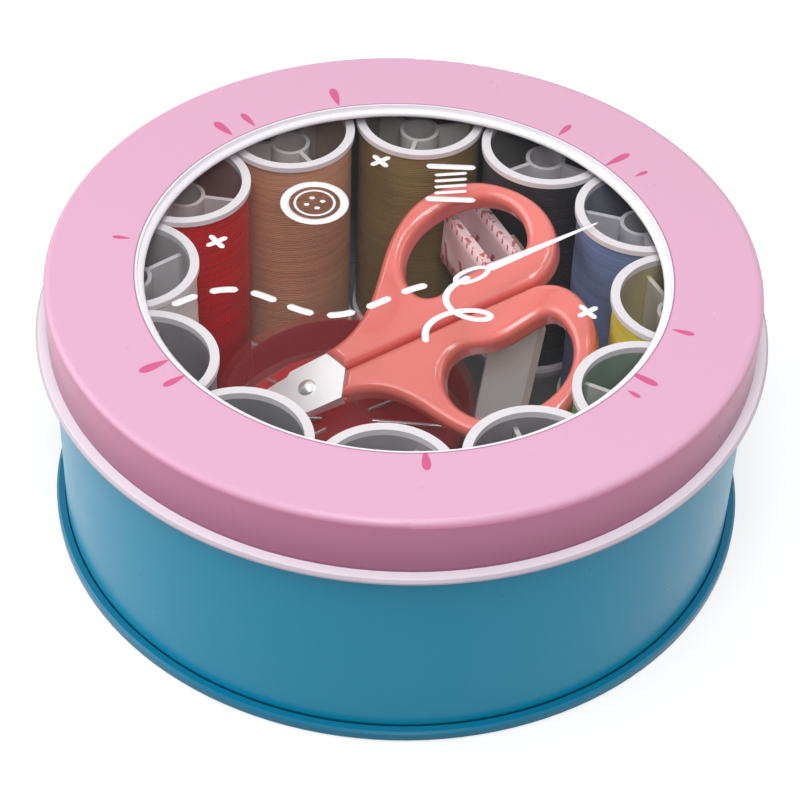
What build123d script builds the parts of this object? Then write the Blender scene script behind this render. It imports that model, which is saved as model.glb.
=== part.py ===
"""Round slip-lid sewing tin with a clear window, a ring of thread spools and the tools lying inside it.

Origin: centre of the base, on the plane that the bottom seam stands on. +Z up, +X right, +Y to the back.
Millimetres.
"""

import os
from math import asin, cos, degrees, hypot, radians, sin

from build123d import *

# --- tinplate -------------------------------------------------------------
SHEET = 0.3  # tinplate with its lacquer
TIN_HEIGHT = 50.2  # base to the top of the closed lid
LID_RADIUS = 60.0  # outside of the lid's skirt
LID_SKIRT = 10.6  # depth of the skirt, down to the stop bead
LID_EDGE_RADIUS = 1.2  # drawn corner between the lid's top and skirt
LID_SLIP = 0.35  # radial play between skirt and neck
BEAD_RADIUS = 62.0  # outside of the stop bead
BEAD_HEIGHT = 1.3
BEAD_CORNER = 0.3
NECK_ROOM = 1.5  # hemmed neck below the underside of the lid's top
HEM_LENGTH = 1.2  # inner leg of the hem
HEM_FOLD = 0.4  # inside width of the fold
BEND = 0.5  # ordinary inside bend of the sheet
LAP_ANGLE = 4.0  # degrees of wall that the side lap covers
LAP_AZIMUTH = 102.8  # where the side lap stands, between two spools

# --- bottom double seam ---------------------------------------------------
SEAM_RADIUS = 61.05  # outside of the seam
SEAM_HEIGHT = 2.15
SEAM_CORNER = 0.4
FLOOR_LIFT = 1.1  # underside of the bottom plate above the seam's foot
SEAM_GAP = 0.2  # play between neighbouring layers of the seam
HOOK_CLEARANCE = 0.3  # play at the tips and turns of the two hooks

# --- window ---------------------------------------------------------------
WINDOW_RADIUS = 44.6  # hole in the lid's top
TURN_DOWN = 0.9  # depth of the turned-down edge
CURL_RADIUS = 0.65  # rolled edge round the hole
CURL_BITE = 0.15  # how far the roll closes on the turned edge
PANE_THICKNESS = 0.4
PANE_MARGIN = 2.6  # pane beyond the hole
PANE_BOND = 0.02  # glue line under the roll

# --- spools ---------------------------------------------------------------
SPOOL_COUNT = 12
SPOOL_CIRCLE = 46.4  # radius of the ring that the spools stand on
FIRST_SPOOL = -2.2  # azimuth of the first spool, degrees
FLANGE_RADIUS = 11.7
FLANGE_THICKNESS = 1.0
SPOOL_HEADROOM = 1.13  # spools below the window pane
BARREL_RADIUS = 10.75
BARREL_WALL = 0.6
HUB_RADIUS = 3.6
HUB_WALL = 0.7
RIB_COUNT = 3
RIB_THICKNESS = 0.8
RIB_RECESS = 3.0  # hub and ribs below the rims
RIB_TURN = 17.0  # turn of the ribs from one spool to the next, degrees
THREAD_BUILD = 0.55  # depth of the wound thread
WINDING_PLAY = 0.02
THREAD_END_GAP = 0.1

# --- scissors -------------------------------------------------------------
RIVET_AT = (-15.9, -2.0, 22.4)
SCISSORS_AZIMUTH = 14.0  # from the tips to the finger loops, degrees
SCISSORS_RISE = 23.0
SCISSORS_ROLL = 9.3
BLADE_THICKNESS = 1.0
BLADE_GAP = 0.05  # half the play between the blades
BLADE_LENGTH = 24.0  # rivet to tip
HEEL_LENGTH = 7.5  # rivet to the far corner of the heel
HEEL_HALF_WIDTH = 5.0
HEEL_REACH = 5.2  # rivet to the heel's end corners
HANDLE_THICKNESS = 4.8
HANDLE_EDGE = 1.6
HANDLE_LENGTH = 50.2  # rivet to the end of the loops
HANDLE_HALF_WIDTH = 28.2
HANDLE_SEAM = 0.4  # half the gap between the closed handles
LOOP_STRUT = 6.6  # inner bar of a finger loop
LOOP_RIM = 4.6  # outer bar of a finger loop
TANG_LENGTH = 9.0  # blade inside its handle
TANG_WIDTH = 2.8
TANG_FIT = 0.03
HEEL_RELIEF = 0.35  # room for the other blade's heel in each handle
RIVET_RADIUS = 1.2
RIVET_FIT = 0.05
RIVET_HEAD_RADIUS = 1.65
RIVET_HEAD_HEIGHT = 0.9

# --- pin box --------------------------------------------------------------
PIN_BOX_AT = (-9.4, 5.4)
PIN_BOX_RADIUS = 23.2  # outside of its cap
PIN_BOX_WALL = 1.0
PIN_CAP_SLIP = 0.2
PIN_DISH_HEIGHT = 11.8
PIN_CAP_SKIRT = 8.4
PIN_SEAT = 0.05  # play between cap and dish rim
CUSHION_HEIGHT = 4.5
CUSHION_CROWN = 1.2
CUSHION_GAP = 0.3
CUSHION_REST = 0.05  # cushion above the dish's floor
NEEDLE_COUNT = 10
NEEDLE_RADIUS = 0.4
NEEDLE_LENGTH = 14.0
NEEDLE_INNER = 4.5  # points of the needles from the centre
NEEDLE_REST = 0.03  # needles above the cushion they lie on

# --- tape measure ---------------------------------------------------------
TAPE_AT = (8.8, 35.5, 37.0)  # top of the coil's far end
TAPE_AZIMUTH = -60.0
TAPE_DIP = 5.0  # how far the coil's long axis points down, degrees
TAPE_LENGTH = 24.0
TAPE_COIL_WIDTH = 8.2
TAPE_WIDTH = 12.0
TAPE_BUILD = 1.8
TIP_LENGTH = 4.0
TIP_THICKNESS = 0.5

# --- needle sleeve --------------------------------------------------------
SLEEVE_FOOT = (18.3, 13.4)
SLEEVE_WIDTH = 9.3
SLEEVE_LENGTH = 20.5
SLEEVE_THICKNESS = 1.6
SLEEVE_CARD = 0.4
SLEEVE_LEAN = 12.0  # back from upright, degrees
SLEEVE_TURN = 8.0  # sideways lean, degrees
SLEEVE_REST = 0.1  # lowest corner above the floor

# --- worked out from the above --------------------------------------------
WALL_INSIDE = LID_RADIUS - SHEET - LID_SLIP - SHEET
FLOOR = FLOOR_LIFT + SHEET
LID_REST = TIN_HEIGHT - LID_SKIRT
PANE_TOP = TIN_HEIGHT - TURN_DOWN - 2 * CURL_RADIUS + CURL_BITE - PANE_BOND
NECK_TOP = TIN_HEIGHT - SHEET - NECK_ROOM
SPOOL_LENGTH = PANE_TOP - PANE_THICKNESS - SPOOL_HEADROOM - FLOOR

os.makedirs("parts", exist_ok=True)


def keep(builder, name):
    """Label a finished piece and write its STEP file."""
    builder.part.label = name
    export_step(builder.part, f"parts/{name}.step")


def radial_plane(azimuth):
    """Upright plane through the tin's axis: x outwards at this azimuth, y up."""
    turn = radians(azimuth)
    return Plane(origin=(0, 0, 0), x_dir=(cos(turn), sin(turn), 0), z_dir=(sin(turn), -cos(turn), 0))


# --- tin body: hemmed neck, stop bead, wall and body hook -----------------
bead_middle = LID_REST - BEAD_HEIGHT / 2
bead_half = BEAD_HEIGHT / 2 - SHEET
body_foot = SHEET + HOOK_CLEARANCE
body_hook = WALL_INSIDE + 3 * SHEET + 2 * SEAM_GAP + SHEET
hem_leg = WALL_INSIDE - HEM_FOLD
wall_path = [
    (hem_leg, NECK_TOP - SHEET - HEM_LENGTH),
    (hem_leg, NECK_TOP - SHEET),
    (WALL_INSIDE, NECK_TOP - SHEET),
    (WALL_INSIDE, bead_middle + bead_half),
    (BEAD_RADIUS - SHEET, bead_middle + bead_half),
    (BEAD_RADIUS - SHEET, bead_middle - bead_half),
    (WALL_INSIDE, bead_middle - bead_half),
    (WALL_INSIDE, body_foot),
    (body_hook, body_foot),
    (body_hook, SEAM_HEIGHT - SHEET - HOOK_CLEARANCE),
]

with BuildPart() as body_wall:
    with BuildSketch(Plane.XZ):
        with BuildLine():
            outline = Polyline(*wall_path)
            bead_edge = outline.vertices().group_by(Axis.X)[-1]
            chamfer(bead_edge, length=BEAD_CORNER)
            offset(amount=SHEET, side=Side.LEFT, kind=Kind.INTERSECTION)
        make_face()
    revolve(axis=Axis.Z)
    with BuildSketch(radial_plane(LAP_AZIMUTH - LAP_ANGLE / 2)):
        with Locations((WALL_INSIDE - SHEET, FLOOR + BEND)):
            Rectangle(
                1.5 * SHEET,
                LID_REST - BEAD_HEIGHT - FLOOR - 2 * BEND,
                align=(Align.MIN, Align.MIN),
            )
    revolve(axis=Axis.Z, revolution_arc=LAP_ANGLE)
keep(body_wall, "body_wall")

# --- bottom plate: recessed panel, chuck wall and cover hook --------------
chuck = WALL_INSIDE - SHEET - SEAM_GAP / 2
cover_hook = WALL_INSIDE + SHEET + SEAM_GAP
plate_path = [
    (0, FLOOR_LIFT),
    (chuck, FLOOR_LIFT),
    (chuck, 0),
    (SEAM_RADIUS, 0),
    (SEAM_RADIUS, SEAM_HEIGHT),
    (cover_hook, SEAM_HEIGHT),
    (cover_hook, body_foot + SHEET + HOOK_CLEARANCE),
]

with BuildPart() as bottom_plate:
    with BuildSketch(Plane.XZ):
        with BuildLine():
            outline = Polyline(*plate_path)
            seam_edge = outline.vertices().group_by(Axis.X)[-1]
            chamfer(seam_edge, length=SEAM_CORNER)
            offset(amount=SHEET, side=Side.LEFT, kind=Kind.INTERSECTION)
        make_face()
    revolve(axis=Axis.Z)
keep(bottom_plate, "bottom_plate")

# --- lid: drawn cap whose window edge is turned down and rolled -----------
curl_middle = TIN_HEIGHT - TURN_DOWN - CURL_RADIUS + CURL_BITE
lid_path = [
    (LID_RADIUS, LID_REST),
    (LID_RADIUS, TIN_HEIGHT),
    (WINDOW_RADIUS, TIN_HEIGHT),
    (WINDOW_RADIUS, curl_middle),
]

with BuildPart() as lid_shell:
    with BuildSketch(Plane.XZ):
        with BuildLine():
            outline = Polyline(*lid_path)
            top_corner = outline.vertices().group_by(Axis.X)[-1].sort_by(Axis.Y)[-1]
            fillet(top_corner, radius=LID_EDGE_RADIUS)
            offset(amount=SHEET, side=Side.LEFT, kind=Kind.INTERSECTION)
        make_face()
        with Locations((WINDOW_RADIUS - CURL_RADIUS + CURL_BITE, curl_middle)):
            Circle(CURL_RADIUS)
    revolve(axis=Axis.Z)
keep(lid_shell, "lid_shell")

with BuildPart() as window_pane:
    with BuildSketch(Plane.XY.offset(PANE_TOP)):
        Circle(WINDOW_RADIUS + PANE_MARGIN)
    extrude(amount=-PANE_THICKNESS)
keep(window_pane, "window_pane")

# --- spools: flanged barrel, ribbed hub and the thread wound on it --------
THREADS = [
    "yellow",
    "blue",
    "black",
    "olive",
    "beige",
    "red",
    "cream",
    "ash",
    "slate",
    "silver",
    "mauve",
    "green",
]

for number, thread in enumerate(THREADS):
    azimuth = FIRST_SPOOL + number * 360 / SPOOL_COUNT
    foot = Plane(
        origin=(SPOOL_CIRCLE * cos(radians(azimuth)), SPOOL_CIRCLE * sin(radians(azimuth)), FLOOR),
        x_dir=(cos(radians(azimuth + number * RIB_TURN)), sin(radians(azimuth + number * RIB_TURN)), 0),
        z_dir=(0, 0, 1),
    )
    bore = BARREL_RADIUS - BARREL_WALL

    with BuildPart() as spool:
        with BuildSketch(foot):
            Circle(BARREL_RADIUS)
            Circle(bore, mode=Mode.SUBTRACT)
        extrude(amount=SPOOL_LENGTH)
        for flange_foot in (0, SPOOL_LENGTH - FLANGE_THICKNESS):
            with BuildSketch(foot.offset(flange_foot)):
                Circle(FLANGE_RADIUS)
                Circle(bore, mode=Mode.SUBTRACT)
            extrude(amount=FLANGE_THICKNESS)
        with BuildSketch(foot.offset(RIB_RECESS)):
            with PolarLocations((HUB_RADIUS + bore) / 2, RIB_COUNT):
                Rectangle(bore - HUB_RADIUS + BARREL_WALL, RIB_THICKNESS)
            Circle(HUB_RADIUS)
            Circle(HUB_RADIUS - HUB_WALL, mode=Mode.SUBTRACT)
        extrude(amount=SPOOL_LENGTH - 2 * RIB_RECESS)
    keep(spool, f"spool_{thread}")

    with BuildPart() as winding:
        with BuildSketch(foot.offset(FLANGE_THICKNESS + THREAD_END_GAP)):
            Circle(BARREL_RADIUS + THREAD_BUILD)
            Circle(BARREL_RADIUS + WINDING_PLAY, mode=Mode.SUBTRACT)
        extrude(amount=SPOOL_LENGTH - 2 * (FLANGE_THICKNESS + THREAD_END_GAP))
    keep(winding, f"thread_{thread}")

# --- scissors: two crossed blades, their plastic handles and the rivet ----
along = Vector(1, 0, 0).rotate(Axis.Y, -SCISSORS_RISE).rotate(Axis.Z, SCISSORS_AZIMUTH)
across_normal = Vector(0, 0, 1).rotate(Axis.X, SCISSORS_ROLL)
across_normal = across_normal.rotate(Axis.Y, -SCISSORS_RISE).rotate(Axis.Z, SCISSORS_AZIMUTH)
scissors = Plane(origin=RIVET_AT, x_dir=along, z_dir=across_normal)

strut_middle = HANDLE_SEAM + LOOP_STRUT
loop_back = HANDLE_LENGTH - LOOP_RIM
loop_front = 0.46 * HANDLE_LENGTH
handle_outline = [
    (HEEL_REACH + TANG_FIT, HEEL_HALF_WIDTH),
    (0.31 * HANDLE_LENGTH, 0.4 * HANDLE_HALF_WIDTH),
    (0.44 * HANDLE_LENGTH, 0.76 * HANDLE_HALF_WIDTH),
    (0.6 * HANDLE_LENGTH, 0.98 * HANDLE_HALF_WIDTH),
    (0.77 * HANDLE_LENGTH, 0.965 * HANDLE_HALF_WIDTH),
    (0.92 * HANDLE_LENGTH, 0.755 * HANDLE_HALF_WIDTH),
    (HANDLE_LENGTH, 0.42 * HANDLE_HALF_WIDTH),
    (0.96 * HANDLE_LENGTH, 0.12 * HANDLE_HALF_WIDTH),
    (0.86 * HANDLE_LENGTH, HANDLE_SEAM),
]
finger_hole = [
    (0.6 * HANDLE_LENGTH, strut_middle),
    (0.49 * HANDLE_LENGTH, strut_middle + 0.4),
    (loop_front - 0.4, strut_middle + 5.0),
    (0.53 * HANDLE_LENGTH, 0.75 * HANDLE_HALF_WIDTH),
    (0.65 * HANDLE_LENGTH, HANDLE_HALF_WIDTH - LOOP_RIM),
    (0.8 * HANDLE_LENGTH, 0.79 * HANDLE_HALF_WIDTH),
    (loop_back, 0.48 * HANDLE_HALF_WIDTH),
    (0.88 * HANDLE_LENGTH, strut_middle + 0.8),
]
heel_radius = hypot(HEEL_LENGTH, HANDLE_SEAM)
tang_middle = 0.6 * HEEL_HALF_WIDTH
blade_outline = [
    (HEEL_REACH, HEEL_HALF_WIDTH),
    (HEEL_LENGTH, HANDLE_SEAM),
    (HEEL_REACH, -HEEL_HALF_WIDTH),
    (-0.2 * HEEL_HALF_WIDTH, -HEEL_HALF_WIDTH),
    (-0.6 * BLADE_LENGTH, -0.56 * HEEL_HALF_WIDTH),
    (-BLADE_LENGTH, 0),
    (-0.18 * BLADE_LENGTH, 0.4 * HEEL_HALF_WIDTH),
    (-0.4 * HEEL_HALF_WIDTH, 0.92 * HEEL_HALF_WIDTH),
]

for name, hand in (("left", 1), ("right", -1)):
    own_side = scissors.offset(hand * BLADE_GAP)
    inward = scissors.offset(hand * (BLADE_GAP + BLADE_THICKNESS + TANG_FIT))

    with BuildPart() as blade:
        with BuildSketch(own_side):
            with BuildLine():
                Polyline(*[(u, hand * v) for u, v in blade_outline], close=True)
            make_face()
            with Locations((HEEL_REACH + TANG_LENGTH / 2, hand * tang_middle)):
                Rectangle(TANG_LENGTH, TANG_WIDTH)
            Circle(RIVET_RADIUS + RIVET_FIT, mode=Mode.SUBTRACT)
        extrude(amount=hand * BLADE_THICKNESS)
    keep(blade, f"blade_{name}")

    with BuildPart() as handle:
        with BuildSketch(scissors):
            with BuildLine():
                rim = Spline(*[(u, hand * v) for u, v in handle_outline])
                heel = Line(rim @ 0, (HEEL_LENGTH + TANG_FIT, hand * HANDLE_SEAM))
                Line(heel @ 1, rim @ 1)
            make_face()
            with BuildLine():
                Spline(*[(u, hand * v) for u, v in finger_hole], periodic=True)
            make_face(mode=Mode.SUBTRACT)
        extrude(amount=HANDLE_THICKNESS / 2, both=True)
        broad_faces = handle.faces().sort_by(Axis((0, 0, 0), across_normal))
        fillet(broad_faces[0].edges() + broad_faces[-1].edges(), radius=HANDLE_EDGE)
        with BuildSketch(inward):
            with Locations((HEEL_REACH + TANG_LENGTH / 2, hand * tang_middle)):
                Rectangle(TANG_LENGTH + 2 * TANG_FIT, TANG_WIDTH + 2 * TANG_FIT)
        extrude(amount=-hand * (BLADE_THICKNESS + 2 * TANG_FIT), mode=Mode.SUBTRACT)
        with BuildSketch(scissors):
            Circle(heel_radius + HEEL_RELIEF)
        extrude(amount=-hand * (BLADE_GAP + BLADE_THICKNESS + HEEL_RELIEF), mode=Mode.SUBTRACT)
    keep(handle, f"handle_{name}")

with BuildPart() as rivet:
    with BuildSketch(Plane(origin=RIVET_AT, x_dir=along, z_dir=-scissors.y_dir)):
        with BuildLine():
            stack = BLADE_GAP + BLADE_THICKNESS
            dome_foot = (RIVET_HEAD_RADIUS, stack)
            foot = Polyline(
                dome_foot,
                (RIVET_RADIUS, stack),
                (RIVET_RADIUS, -stack),
                (RIVET_HEAD_RADIUS, -stack),
                (RIVET_HEAD_RADIUS, -stack - RIVET_HEAD_HEIGHT / 2),
                (0, -stack - RIVET_HEAD_HEIGHT / 2),
                (0, stack + RIVET_HEAD_HEIGHT),
            )
            RadiusArc(foot @ 1, dome_foot, RIVET_HEAD_RADIUS * 1.3)
        make_face()
    revolve(axis=Axis(RIVET_AT, across_normal))
keep(rivet, "pivot_rivet")

# --- pin box: clear dish and cap, with needles on a crowned cushion -------
dish_radius = PIN_BOX_RADIUS - PIN_BOX_WALL - PIN_CAP_SLIP
box_foot = Plane(origin=(*PIN_BOX_AT, FLOOR))
cap_top = PIN_DISH_HEIGHT + PIN_SEAT + PIN_BOX_WALL
cushion_radius = dish_radius - PIN_BOX_WALL - CUSHION_GAP
cushion_base = PIN_BOX_WALL + CUSHION_REST
cushion_edge = cushion_base + CUSHION_HEIGHT
crown_radius = (cushion_radius**2 + CUSHION_CROWN**2) / (2 * CUSHION_CROWN)
crown_centre = box_foot.origin + Vector(0, 0, cushion_edge + CUSHION_CROWN - crown_radius)
needle_slope = degrees(asin((NEEDLE_INNER + NEEDLE_LENGTH / 2) / crown_radius))

with BuildPart() as pin_box_dish:
    with BuildSketch(box_foot):
        Circle(dish_radius)
    extrude(amount=PIN_DISH_HEIGHT)
    rim = pin_box_dish.faces().sort_by(Axis.Z)[-1]
    offset(amount=-PIN_BOX_WALL, openings=rim)
keep(pin_box_dish, "pin_box_dish")

with BuildPart() as pin_box_cap:
    with BuildSketch(box_foot.offset(cap_top - PIN_CAP_SKIRT)):
        Circle(PIN_BOX_RADIUS)
    extrude(amount=PIN_CAP_SKIRT)
    mouth = pin_box_cap.faces().sort_by(Axis.Z)[0]
    offset(amount=-PIN_BOX_WALL, openings=mouth)
keep(pin_box_cap, "pin_box_cap")

with BuildPart() as cushion:
    with BuildSketch(Plane(origin=box_foot.origin, x_dir=(1, 0, 0), z_dir=(0, -1, 0))):
        with BuildLine():
            foot = (0, cushion_base)
            side = Polyline(foot, (cushion_radius, cushion_base), (cushion_radius, cushion_edge))
            top = Line(foot, (0, cushion_edge + CUSHION_CROWN))
            TangentArc(top @ 1, side @ 1, tangent=(1, 0))
        make_face()
    revolve(axis=Axis(box_foot.origin, (0, 0, 1)))
keep(cushion, "pin_cushion")

with BuildPart() as needles:
    for number in range(NEEDLE_COUNT):
        turn = number * 360 / NEEDLE_COUNT
        outward = Vector(1, 0, 0).rotate(Axis.Y, needle_slope).rotate(Axis.Z, turn)
        upward = Vector(0, 0, 1).rotate(Axis.Y, needle_slope).rotate(Axis.Z, turn)
        middle = crown_centre + upward * (crown_radius + NEEDLE_RADIUS + NEEDLE_REST)
        with BuildSketch(Plane(origin=middle, z_dir=outward)):
            Circle(NEEDLE_RADIUS)
        extrude(amount=NEEDLE_LENGTH / 2, both=True)
keep(needles, "needles")

# --- tape measure: an oblong coil on edge, with its metal end tip ---------
tape_along = Vector(1, 0, 0).rotate(Axis.Y, TAPE_DIP).rotate(Axis.Z, TAPE_AZIMUTH)
tape_up = Vector(0, 0, 1).rotate(Axis.Y, TAPE_DIP).rotate(Axis.Z, TAPE_AZIMUTH)
coil_top = Plane(
    origin=Vector(*TAPE_AT) + tape_along * (TAPE_LENGTH / 2), x_dir=tape_along, z_dir=tape_up
)

with BuildPart() as tape_coil:
    with BuildSketch(coil_top):
        SlotOverall(TAPE_LENGTH, TAPE_COIL_WIDTH)
        SlotOverall(
            TAPE_LENGTH - 2 * TAPE_BUILD, TAPE_COIL_WIDTH - 2 * TAPE_BUILD, mode=Mode.SUBTRACT
        )
    extrude(amount=-TAPE_WIDTH)
keep(tape_coil, "tape_coil")

with BuildPart() as tape_tip:
    with BuildSketch(coil_top):
        with Locations((TAPE_LENGTH / 8, TAPE_COIL_WIDTH / 2 + TIP_THICKNESS / 2)):
            Rectangle(TIP_LENGTH, TIP_THICKNESS)
    extrude(amount=-TAPE_WIDTH)
keep(tape_tip, "tape_tip")

# --- needle sleeve: a flattened card tube open at both ends ---------------
sleeve_up = Vector(0, 0, 1).rotate(Axis.X, -SLEEVE_LEAN).rotate(Axis.Y, SLEEVE_TURN)
sleeve_across = Vector(1, 0, 0).rotate(Axis.Y, SLEEVE_TURN)
foot_lift = (
    SLEEVE_REST
    + SLEEVE_WIDTH / 2 * sin(radians(SLEEVE_TURN))
    + SLEEVE_THICKNESS / 2 * sin(radians(SLEEVE_LEAN))
)
sleeve_foot = Plane(origin=(*SLEEVE_FOOT, FLOOR), x_dir=sleeve_across, z_dir=sleeve_up)

with BuildPart() as needle_sleeve:
    with BuildSketch(sleeve_foot.offset(foot_lift)):
        Rectangle(SLEEVE_WIDTH, SLEEVE_THICKNESS)
        Rectangle(
            SLEEVE_WIDTH - 2 * SLEEVE_CARD,
            SLEEVE_THICKNESS - 2 * SLEEVE_CARD,
            mode=Mode.SUBTRACT,
        )
    extrude(amount=SLEEVE_LENGTH)
keep(needle_sleeve, "needle_sleeve")
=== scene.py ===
"""Dresses a round sewing tin: lacquered tinplate, a clear printed window, spools and tools."""

import math

import bpy
import numpy as np
from bpy.props import FloatProperty, FloatVectorProperty, PointerProperty
from mathutils import Matrix, Vector


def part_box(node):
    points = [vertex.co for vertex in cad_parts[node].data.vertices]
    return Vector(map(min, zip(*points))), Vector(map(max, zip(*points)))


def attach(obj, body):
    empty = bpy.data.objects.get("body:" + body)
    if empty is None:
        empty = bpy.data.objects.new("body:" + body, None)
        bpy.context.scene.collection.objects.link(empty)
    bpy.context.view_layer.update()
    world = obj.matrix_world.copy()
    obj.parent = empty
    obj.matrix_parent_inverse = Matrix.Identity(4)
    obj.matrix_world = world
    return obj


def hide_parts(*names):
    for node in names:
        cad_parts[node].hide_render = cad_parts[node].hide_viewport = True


bl_info = {
    "name": "Sewing tin dresser",
    "version": (1, 0, 0),
    "blender": (4, 5, 0),
    "location": "3D View > Sidebar > Sewing tin",
    "description": "Finishes a round windowed sewing tin and the things inside it",
    "category": "Object",
}

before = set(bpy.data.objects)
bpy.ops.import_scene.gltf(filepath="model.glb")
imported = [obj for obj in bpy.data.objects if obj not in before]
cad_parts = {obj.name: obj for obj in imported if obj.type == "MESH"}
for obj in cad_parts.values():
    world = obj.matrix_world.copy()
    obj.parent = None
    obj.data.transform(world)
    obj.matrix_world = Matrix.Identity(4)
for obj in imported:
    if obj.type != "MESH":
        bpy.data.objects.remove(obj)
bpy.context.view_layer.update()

REELS = (
    "yellow",
    "blue",
    "black",
    "olive",
    "beige",
    "red",
    "cream",
    "ash",
    "slate",
    "silver",
    "mauve",
    "green",
)
MM = 0.001
MICRON = 0.000001

# where the lid's finish and its painted shade change: heights and radii in metres, in pairs from
# the start of a change to its end. The skirt is painted darker towards its hem, and the hem and the
# crease round the window get a painted shadow
LID_FLAT = 0.0501
SHOULDER = (0.0489, 0.0501)
SKIRT_SHADE = (0.0390, 0.0478)
HEM_SHADE = (0.03985, 0.04035)
ROLL_RADIUS = 0.04492
CREASE_RADIUS = 0.04500
CREASE_SHADOW_REACH = (0.00004, 0.00028)
# the lid's inside: radius and height of its rounded corner's centre, and how far from it bare
# metal reaches
CORNER_RADIUS, CORNER_HEIGHT, CORNER_REACH = 0.0588, 0.0490, 0.00094

# where the wall's and the bottom's finish changes; the first pair is where the painted shade in the
# groove above the bottom seam fades out
GROOVE_SHADE = (0.0021, 0.0029)
BEAD_FOOT = 0.03825
NECK_FOOT = (0.0394, 0.0397)
WALL_INSIDE = 0.0592
PLATE_INSIDE, PLATE_RADIUS = 0.00125, 0.05888

# height of the ink on the pane, and how far its underside is above the pane
INK_HEIGHT = 20 * MICRON
INK_CLEARANCE = 30 * MICRON

# a spool: the radii between which its barrel takes a dim copy of the thread's colour as painted
# shade, the barrel's own radius and the radius within which the hub's hole gets painted shade, and
# the height of the winding
BARREL_START = (0.0088, 0.0099)
BARREL_RADIUS = 0.01045
CORE_RADIUS = 0.0095
WINDING_HEIGHT = 0.0430

# the tape's coil: where its long side points, how far that side dips, and how thick its turns are
# together
COIL_AZIMUTH, COIL_DIP = math.radians(-60.0), math.radians(5.0)
COIL_BUILD = 0.0018

# the card sleeve: how far it leans sideways, and where its folded side starts
SLEEVE_LEAN = math.radians(8.0)
SLEEVE_FOLD = 0.0079

# where the prints stand on the pane, in mm from its middle
NEEDLE_POINT, NEEDLE_EYE = (33.0, 15.5), (9.5, -1.0)
BUTTON_PLACE, SPOOL_PLACE = (-16.0, 18.0), (7.5, 25.0)
CROSS_PLACES = ((-32.0, 6.5), (-5.0, 30.5), (30.5, -8.0))


# --- sizes and colours a user may change ---------------------------------------------------


def colour(name, description, default):
    """A colour setting."""
    return FloatVectorProperty(
        name=name, description=description, default=default, subtype="COLOR", size=3, min=0, max=1
    )


def length(name, description, default):
    """A length setting in metres."""
    return FloatProperty(
        name=name, description=description, default=default, unit="LENGTH", precision=5, min=0
    )


class TinSettings(bpy.types.PropertyGroup):
    """Lacquer and marks of the tin."""

    lid: colour("Lid", "Lacquer of the lid", (0.760, 0.425, 0.585))
    # painted shade: the skirt has the lid's own pink lacquer, set darker here for the lid's side
    skirt: colour("Skirt", "Lacquer of the lid's side", (0.620, 0.220, 0.365))
    body: colour("Body", "Lacquer of the wall", (0.003, 0.292, 0.480))
    # painted shade: the wall's teal lacquer, set darker for the bottom seam and the underside
    seam: colour("Seam", "Lacquer of the bottom seam", (0.003, 0.180, 0.310))
    trim: colour("Trim", "White of the neck and the rolled window edge", (0.92, 0.89, 0.94))
    # painted shade: the same white as the trim, set darker for the bead that sits under the lid
    bead: colour("Bead", "White of the bead under the lid", (0.54, 0.47, 0.54))
    tinplate: colour("Tinplate", "Bare inside", (0.42, 0.42, 0.43))
    mark: colour("Marks", "Small strokes round the window", (0.66, 0.115, 0.275))
    mark_ring: length("Mark ring", "Radius of the ring of marks", 0.0478)
    mark_length: length("Mark length", "Length of a long mark", 0.0050)


class WindowSettings(bpy.types.PropertyGroup):
    """Clear film of the window and the print on it."""

    film: colour("Film", "Clear film", (0.42, 0.44, 0.47))
    ink: colour("Ink", "White print", (0.93, 0.92, 0.94))
    stroke: length("Stroke", "Width of a printed line", 0.00160)
    stitch: length("Stitch", "Length of one printed stitch", 0.0048)


class ReelSettings(bpy.types.PropertyGroup):
    """Threads and their spools."""

    plastic: colour("Plastic", "Spools", (0.80, 0.765, 0.79))
    pitch: length("Pitch", "Height of one turn of thread", 0.00042)
    yellow: colour("Yellow", "First thread", (0.84, 0.68, 0.05))
    blue: colour("Blue", "Second thread", (0.18, 0.26, 0.50))
    black: colour("Black", "Third thread", (0.030, 0.026, 0.030))
    olive: colour("Olive", "Fourth thread", (0.30, 0.215, 0.080))
    beige: colour("Beige", "Fifth thread", (0.70, 0.37, 0.225))
    red: colour("Red", "Sixth thread", (0.66, 0.008, 0.012))
    cream: colour("Cream", "Seventh thread", (0.92, 0.85, 0.87))
    ash: colour("Ash", "Eighth thread", (0.26, 0.24, 0.27))
    slate: colour("Slate", "Ninth thread", (0.14, 0.15, 0.19))
    silver: colour("Silver", "Tenth thread", (0.42, 0.41, 0.45))
    mauve: colour("Mauve", "Eleventh thread", (0.24, 0.18, 0.26))
    green: colour("Green", "Twelfth thread", (0.06, 0.34, 0.11))


class ToolSettings(bpy.types.PropertyGroup):
    """Scissors, pin box, tape measure and needle sleeve."""

    handle: colour("Handles", "Plastic of the scissors", (0.79, 0.170, 0.140))
    steel: colour("Steel", "Blades and needles", (0.93, 0.92, 0.94))
    clear: colour("Pin box plastic", "See-through box of the pin cushion", (0.78, 0.110, 0.120))
    cushion: colour("Cushion", "Cloth of the pin cushion", (0.74, 0.014, 0.018))
    tape: colour("Tape", "Coated cloth of the tape measure", (0.96, 0.74, 0.77))
    tick: colour("Ticks", "Print on the tape measure", (0.50, 0.03, 0.06))
    card: colour("Card", "Needle sleeve", (0.98, 0.945, 0.96))
    card_edge: colour("Card edge", "Side of the needle sleeve", (0.78, 0.66, 0.63))
    tape_sheet: length("Tape sheet", "Thickness of the tape", 0.00033)
    tape_gap: length("Tape gap", "Air between two turns of the tape", 0.00003)


# --- writing materials ---------------------------------------------------------------------


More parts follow.
